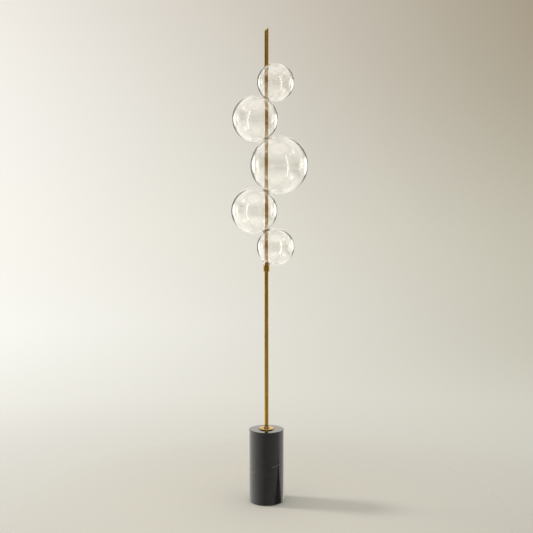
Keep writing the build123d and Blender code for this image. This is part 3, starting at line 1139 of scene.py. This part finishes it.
def makeCollar(shape):
    low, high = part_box("support_collar")
    bore = stemRadius + shape["slideFit"]
    edge = shape["collarEdge"]
    section = roundedPath([
        (bore, low.z, shape["tubeEdge"]),
        (high.x, low.z, edge),
        (high.x, high.z, edge),
        (bore, high.z, shape["tubeEdge"]),
    ])
    piece = turnedPiece("supportCollar", section, turnedBrass, shape["collarSteps"])
    screw = (lowOf("collar_set_screw").z + highOf("collar_set_screw").z) / 2
    drill(piece, [drillBit(shape["setScrewHole"], stemRadius / 2, high.x + edge, screw, shape["screwHoleSteps"])])
    mount(piece, "support_collar")


def readWindows(shape):
    windows = []
    for globe in globes:
        low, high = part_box(globe["place"] + "_window_lens")
        windows.append({
            "place": globe["place"],
            "middle": globe["z"],
            "half": (high.z - low.z) / 2 - shape["lip"],
            "facing": globe["facing"],
        })
    return windows


def slotReach(y, half, halfWidth):
    # how far from its middle a round-ended slot reaches, at a distance y from its centre line
    return half - halfWidth + math.sqrt(max(halfWidth ** 2 - y ** 2, 0))


def tubeColumns(radius, shape):
    # angles round the tube, close together across a window's width and even elsewhere, with both sides alike
    halfWidth = shape["windowWidth"] / 2
    steps = shape["windowSteps"]
    across = [math.asin(halfWidth * math.sin(math.pi / 2 * i / steps) / radius) for i in range(steps + 1)]
    edge = across[-1]
    beyond = [edge + (math.pi / 2 - edge) * i / shape["roundSteps"] for i in range(1, shape["roundSteps"])]
    quarter = across + beyond
    half = quarter + [math.pi / 2] + [math.pi - angle for angle in reversed(quarter[1:])]
    return half + [angle + math.pi for angle in half]


def slantedHeight(reach, angle, shape):
    # height of the tip's slanted cut at a distance from the stem's axis
    rise = math.tan(math.radians(shape["mitreAngle"]))
    turn = math.radians(shape["mitreTurn"])
    return tipHeight - (stemRadius - reach * math.cos(angle - turn)) * rise


rowsPerWindow = 4
firstOpenRow = 2


def tubeHeights(angle, radius, windows, shape, low):
    # heights of the tube's rows on one column; the rows bend round the ends of the windows that face this way
    halfWidth = shape["windowWidth"] / 2
    y = radius * math.sin(angle)
    rows = [low]
    for window in windows:
        faces = math.cos(angle - window["facing"]) > 0 and abs(y) <= halfWidth + meshRules["weld"]
        reach = slotReach(y if faces else halfWidth, window["half"], halfWidth)
        clear = window["half"] + shape["windowMargin"]
        rows += [window["middle"] + height for height in (-clear, -reach, reach, clear)]
    rows.append(slantedHeight(-stemRadius, math.radians(shape["mitreTurn"]), shape) - shape["windowMargin"])
    rows.append(slantedHeight(radius, angle, shape))
    return rows


def makeUpperStem(shape, windows):
    low = lowOf("upper_stem").z
    mesh = bmesh.new()
    skins = []
    for radius in (stemRadius, stemRadius - shape["wall"]):
        skin = []
        for angle in tubeColumns(radius, shape):
            x = radius * math.cos(angle)
            y = radius * math.sin(angle)
            heights = tubeHeights(angle, radius, windows, shape, low)
            skin.append([mesh.verts.new((x, y, height)) for height in heights])
        skins.append(skin)
    columns = len(skins[0])
    rows = len(skins[0][0])
    steps = shape["windowSteps"]

    def isOpen(column, row):
        # True where a cell lies in a window
        place, step = divmod(row - firstOpenRow, rowsPerWindow)
        if step or not 0 <= place < len(windows):
            return False
        centre = 0 if windows[place]["facing"] == 0 else columns // 2
        return (column - centre + steps) % columns < 2 * steps

    for column in range(columns):
        beside = (column + 1) % columns
        for row in range(rows - 1):
            if isOpen(column, row):
                continue
            for skin in skins:
                mesh.faces.new((skin[column][row], skin[beside][row], skin[beside][row + 1], skin[column][row + 1]))
            if isOpen((column - 1) % columns, row):
                wallFace(mesh, skins, (column, row), (column, row + 1))
            if isOpen(beside, row):
                wallFace(mesh, skins, (beside, row), (beside, row + 1))
            if row and isOpen(column, row - 1):
                wallFace(mesh, skins, (column, row), (beside, row))
            if isOpen(column, row + 1):
                wallFace(mesh, skins, (column, row + 1), (beside, row + 1))
        wallFace(mesh, skins, (column, 0), (beside, 0))
        wallFace(mesh, skins, (column, rows - 1), (beside, rows - 1))
    piece = finishMesh("upperStem", mesh, drawnBrass)
    bevel = piece.modifiers.new("soft edges", "BEVEL")
    bevel.width = shape["bevel"]
    bevel.segments = shape["bevelSteps"]
    bevel.limit_method = "ANGLE"
    bevel.angle_limit = math.radians(shape["bevelAngle"])
    settle(piece)
    mount(piece, "upper_stem")


def wallFace(mesh, skins, start, end):
    # joins the outer and the inner skin along one edge
    outer, inner = skins
    corners = (outer[start[0]][start[1]], outer[end[0]][end[1]], inner[end[0]][end[1]], inner[start[0]][start[1]])
    mesh.faces.new(corners)


def makeTipPlug(shape):
    low = lowOf("tip_plug").z
    radius = stemRadius - shape["wall"] - shape["slideFit"]

    def profileAt(angle):
        reaches = [radius * share for share in shape["plugRings"]]
        face = [(reach, slantedHeight(reach, angle, shape) - shape["plugSink"]) for reach in reaches]
        return [(0, low), (radius / 2, low), (radius, low)] + face

    piece = turnedPiece("tipPlug", profileAt, turnedBrass, shape["plugSteps"], False)
    mount(piece, "tip_plug")


# Window lenses

lensShape = {
    "lip": 0.9 * mm,
    "lipThickness": 0.8 * mm,
    "trim": 0.1 * mm,
    "recess": 0.7 * mm,
    "steps": 8,
}


def slotPrism(shape, half, halfWidth, frontAt, back, steps):
    # a closed round-ended prism that faces +X, with a front that may curve across
    across = [halfWidth * math.sin(math.pi / 2 * i / steps) for i in range(-steps, steps + 1)]
    layers = []
    for depthAt in (frontAt, lambda y: back):
        layers.append([
            [shape.verts.new((depthAt(y), y, side * slotReach(y, half, halfWidth))) for y in across]
            for side in (-1, 1)
        ])
    front, rear = layers
    for i in range(len(across) - 1):
        for bottom, top in (front, rear):
            shape.faces.new((bottom[i], bottom[i + 1], top[i + 1], top[i]))
        for near, far in zip(front, rear):
            shape.faces.new((near[i], near[i + 1], far[i + 1], far[i]))
    for i in (0, len(across) - 1):
        shape.faces.new((front[0][i], front[1][i], rear[1][i], rear[0][i]))


def makeLensPiece(window, shape, brass):
    # a body in the window, its front curved as the tube is, on a wider lip behind the tube's wall
    halfWidth = brass["windowWidth"] / 2
    bore = stemRadius - brass["wall"] - brass["slideFit"]
    wide = halfWidth + shape["lip"]
    lipFace = math.sqrt(bore ** 2 - wide ** 2)
    lipBack = lipFace - shape["lipThickness"]
    outside = stemRadius - shape["recess"]
    half, trim, steps = window["half"], shape["trim"], shape["steps"]
    mesh = bmesh.new()
    slotPrism(mesh, half - trim, halfWidth - trim, lambda y: math.sqrt(outside ** 2 - y ** 2), lipFace, steps)
    slotPrism(mesh, half + shape["lip"], wide, lambda y: lipFace, lipBack, steps)
    mesh.transform(Matrix.Translation((0, 0, window["middle"])) @ Matrix.Rotation(window["facing"], 4, "Z"))
    piece = finishMesh(window["place"] + "Lens", mesh, frostedLens)
    mount(piece, window["place"] + "_window_lens")


windows = readWindows(lensShape)
makeFlange(brassShape)
makeLowerStem(brassShape)
makeCollar(brassShape)
makeUpperStem(brassShape, windows)
makeTipPlug(brassShape)
for window in windows:
    makeLensPiece(window, lensShape, brassShape)
print("brass and lenses made")


# Clear rings in the joints, the ring on top and the seat on the collar

ringShape = {
    "sleeveWall": 1.1 * mm,
    "bondedGap": 0.05 * mm,
    "liftGap": 0.3 * mm,
    "brim": 2.2 * mm,
    "edge": 0.25 * mm,
    "fineEdge": 0.12 * mm,
    "surfaceSteps": 5,
    "steps": 96,
}


def ringSection(shape, lower, upper, ends):
    # the section of a sleeve with a web between two surfaces; lower and upper give a height at a distance
    bore = stemRadius + brassShape["slideFit"]
    sleeve = bore + shape["sleeveWall"]
    rim = highOf("globe_seat").x
    count = shape["surfaceSteps"]
    reaches = [sleeve + (rim - sleeve) * i / count for i in range(count + 1)]
    corners = [(bore, ends[0], shape["edge"]), (sleeve, ends[0], shape["edge"])]
    corners += [(reach, lower(reach), shape["edge"] if reach == rim else 0) for reach in reaches]
    corners += [(reach, upper(reach), shape["edge"] if reach == rim else 0) for reach in reversed(reaches)]
    corners += [(sleeve, ends[1], shape["edge"]), (bore, ends[1], shape["edge"])]
    return roundedPath(corners)


def makeRing(globe, above, shape):
    # the ring in a globe's upper hole: it fits the globe above, and on the top globe it ends in a brim
    node = globe["body"] + "_ring"
    low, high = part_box(node)

    def profileAt(angle):
        def upper(reach):
            if above:
                return sphereHeight(above, reach, shape["liftGap"], angle, -1)
            return sphereHeight(globe, reach, shape["brim"], angle, 1)

        def lower(reach):
            return sphereHeight(globe, reach, shape["bondedGap"], angle, 1)

        return ringSection(shape, lower, upper, (low.z, high.z))

    piece = turnedPiece(globe["place"] + "Ring", profileAt, clearRing, shape["steps"])
    mount(piece, node, globe["body"])


def makeSeat(globe, shape):
    low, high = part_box("globe_seat")
    bore = stemRadius + brassShape["slideFit"]
    sleeve = bore + shape["sleeveWall"]
    count = shape["surfaceSteps"]
    reaches = [high.x - (high.x - sleeve) * i / count for i in range(count + 1)]

    def profileAt(angle):
        dish = [(reach, sphereHeight(globe, reach, shape["liftGap"], angle, -1), 0) for reach in reaches]
        dish[0] = dish[0][:2] + (shape["edge"],)
        return roundedPath(
            [(bore, low.z, shape["fineEdge"]), (high.x, low.z, shape["edge"])]
            + dish
            + [(sleeve, high.z, shape["edge"]), (bore, high.z, shape["edge"])]
        )

    piece = turnedPiece("globeSeat", profileAt, clearRing, shape["steps"])
    mount(piece, "globe_seat")


for globe, above in zip(globes, globes[1:] + [None]):
    makeRing(globe, above, ringShape)
makeSeat(globes[0], ringShape)
print("rings made")


# Globes: blown shells with two round holes bored off their centres, made round the stem's axis

globeShape = {
    "wall": 2.6 * mm,
    "hole": 9.5 * mm,
    "lip": 0.9 * mm,
    "columns": 160,
    "rows": 90,
    "lipRows": 10,
    "weld": 0.01 * mm,
}


def makeSkinPoint():
    # a point of a ball's surface, by its turn round the stem and its travel from the upper hole to the lower one
    tree, entry, result = openGroup(
        "skin point",
        "GeometryNodeTree",
        [
            ("Turn", "Float", 0.0),
            ("Travel", "Float", 0.0),
            ("Radius", "Float", 0.1),
            ("Offset", "Float", 0.04),
            ("Hole", "Float", 0.01),
        ],
        [("Point", "Vector"), ("Outwards", "Vector")],
    )
    cosine = calc(tree, "COSINE", entry["Turn"])
    sine = calc(tree, "SINE", entry["Turn"])
    centre = calc(tree, "MULTIPLY", entry["Offset"], cosine)
    aside = calc(tree, "MULTIPLY", entry["Offset"], sine)
    square = calc(tree, "SUBTRACT", calc(tree, "POWER", entry["Radius"], 2), calc(tree, "MULTIPLY", aside, aside))
    arc = calc(tree, "SQRT", square)
    edge = calc(tree, "ARCCOSINE", calc(tree, "DIVIDE", calc(tree, "SUBTRACT", entry["Hole"], centre), arc))
    swing = calc(tree, "MULTIPLY", edge, calc(tree, "MULTIPLY_ADD", entry["Travel"], -2.0, 1.0))
    reach = calc(tree, "ADD", centre, calc(tree, "MULTIPLY", arc, calc(tree, "COSINE", swing)))
    point = together(
        tree,
        X=calc(tree, "MULTIPLY", reach, cosine),
        Y=calc(tree, "MULTIPLY", reach, sine),
        Z=calc(tree, "MULTIPLY", arc, calc(tree, "SINE", swing)),
    )
    tree.links.new(point, result["Point"])
    tree.links.new(together(tree, X=cosine, Y=sine), result["Outwards"])
    return tree


def makeBoredGlobe(skinPoint):
    tree, entry, result = openGroup(
        "bored globe",
        "GeometryNodeTree",
        [
            ("Radius", "Float", 0.1),
            ("Wall", "Float", 0.0026),
            ("Offset", "Float", 0.04),
            ("Hole", "Float", 0.0095),
            ("Lip", "Float", 0.001),
            ("Facing", "Float", 0.0),
            ("Height", "Float", 1.0),
            ("Columns", "Int", 160),
            ("Rows", "Int", 90),
            ("Lip Rows", "Int", 10),
            ("Weld", "Float", 0.00001),
            ("Glass", "Material", None),
        ],
        [("Geometry", "Geometry")],
    )
    parts = apart(tree, addNode(tree, "GeometryNodeInputPosition").outputs[0])
    along = calc(tree, "MULTIPLY", calc(tree, "ADD", parts["X"], 0.5), fullTurn)
    travel = calc(tree, "ADD", parts["Y"], 0.5)
    turn = calc(
        tree,
        "ARCTAN2",
        calc(tree, "MULTIPLY", entry["Radius"], calc(tree, "SINE", along)),
        calc(tree, "ADD", entry["Offset"], calc(tree, "MULTIPLY", entry["Radius"], calc(tree, "COSINE", along))),
    )
    inside = calc(tree, "SUBTRACT", entry["Radius"], entry["Wall"])
    edge = calc(tree, "ADD", entry["Hole"], entry["Lip"])

    def skin(radius, where):
        feeds = {"Turn": turn, "Travel": where, "Radius": radius, "Offset": entry["Offset"], "Hole": edge}
        return useGroup(tree, skinPoint, feeds).outputs

    def sheet(rows, position, flip):
        columns = calc(tree, "ADD", entry["Columns"], 1)
        feeds = {"Size X": 1.0, "Size Y": 1.0, "Vertices X": columns, "Vertices Y": rows}
        grid = addNode(tree, "GeometryNodeMeshGrid", feeds).outputs[0]
        placed = addNode(tree, "GeometryNodeSetPosition", {"Geometry": grid, "Position": position}).outputs[0]
        return addNode(tree, "GeometryNodeFlipFaces", {"Mesh": placed}).outputs[0] if flip else placed

    def lip(where, flip):
        outer = skin(entry["Radius"], where)
        inner = skin(inside, where)
        half = calc(tree, "MULTIPLY", travel, math.pi)
        share = calc(tree, "MULTIPLY_ADD", calc(tree, "COSINE", half), -0.5, 0.5)
        across = scaled(tree, vectorCalc(tree, "SUBTRACT", inner["Point"], outer["Point"]), share)
        bulge = scaled(tree, outer["Outwards"], calc(tree, "MULTIPLY", calc(tree, "SINE", half), entry["Lip"]))
        point = vectorCalc(tree, "SUBTRACT", vectorCalc(tree, "ADD", outer["Point"], across), bulge)
        return sheet(entry["Lip Rows"], point, flip)

    joined = addNode(tree, "GeometryNodeJoinGeometry")
    for part in (
        sheet(entry["Rows"], skin(entry["Radius"], travel)["Point"], True),
        sheet(entry["Rows"], skin(inside, travel)["Point"], False),
        lip(0.0, False),
        lip(1.0, True),
    ):
        tree.links.new(part, joined.inputs[0])
    merged = addNode(tree, "GeometryNodeMergeByDistance", {"Geometry": joined.outputs[0], "Distance": entry["Weld"]})
    turned = addNode(tree, "FunctionNodeAxisAngleToRotation", {"Axis": (0, 0, 1), "Angle": entry["Facing"]})
    placed = addNode(tree, "GeometryNodeTransform", {
        "Geometry": merged.outputs[0],
        "Translation": together(tree, Z=entry["Height"]),
        "Rotation": turned.outputs[0],
    })
    smooth = addNode(tree, "GeometryNodeSetShadeSmooth", {"Geometry": placed.outputs[0]})
    real = addNode(tree, "GeometryNodeRealizeInstances", {"Geometry": smooth.outputs[0]})
    dressed = addNode(tree, "GeometryNodeSetMaterial", {"Geometry": real.outputs[0], "Material": entry["Glass"]})
    tree.links.new(dressed.outputs[0], result["Geometry"])
    return tree


def growPiece(name, tree, values):
    # a piece made by a node tree, as a plain mesh
    piece = addObject(name, bpy.data.meshes.new(name))
    grower = piece.modifiers.new("grow", "NODES")
    grower.node_group = tree
    for item in tree.interface.items_tree:
        if item.in_out == "INPUT" and item.name in values:
            grower[item.identifier] = values[item.name]
    settle(piece)
    return piece


def makeGlobe(globe, tree, shape):
    piece = growPiece(globe["place"] + "Globe", tree, {
        "Radius": globe["radius"],
        "Wall": shape["wall"],
        "Offset": abs(globe["x"]),
        "Hole": shape["hole"],
        "Lip": shape["lip"],
        "Facing": float(globe["facing"]),
        "Height": globe["z"],
        "Columns": shape["columns"],
        "Rows": shape["rows"],
        "Lip Rows": shape["lipRows"],
        "Weld": shape["weld"],
        "Glass": clearGlass,
    })
    mount(piece, globe["body"], globe["body"])


boredGlobe = makeBoredGlobe(makeSkinPoint())
for globe in globes:
    makeGlobe(globe, boredGlobe, globeShape)
print("globes made")


# The frame's own pieces that stay, in their finishes

carried = {
    "zinc steel": [
        "bottom_plate", "plate_screws", "tie_tube", "clamp_washer", "clamp_nut", "foot_plug", "stem_coupler",
        "collar_set_screw",
    ],
    "drawn aluminium": ["strip_carrier"],
    "driver case": ["led_driver"],
    "terminal plastic": ["terminal_block"],
    "wire insulation": ["stem_wires", "supply_leads"],
    "white circuit board": [globe["place"] + "_light_strip" for globe in globes],
}


def dress(node, material):
    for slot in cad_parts[node].material_slots:
        slot.material = material


for finish, nodes in carried.items():
    for node in nodes:
        dress(node, plain[finish])
dress("plate_inserts", turnedBrass)
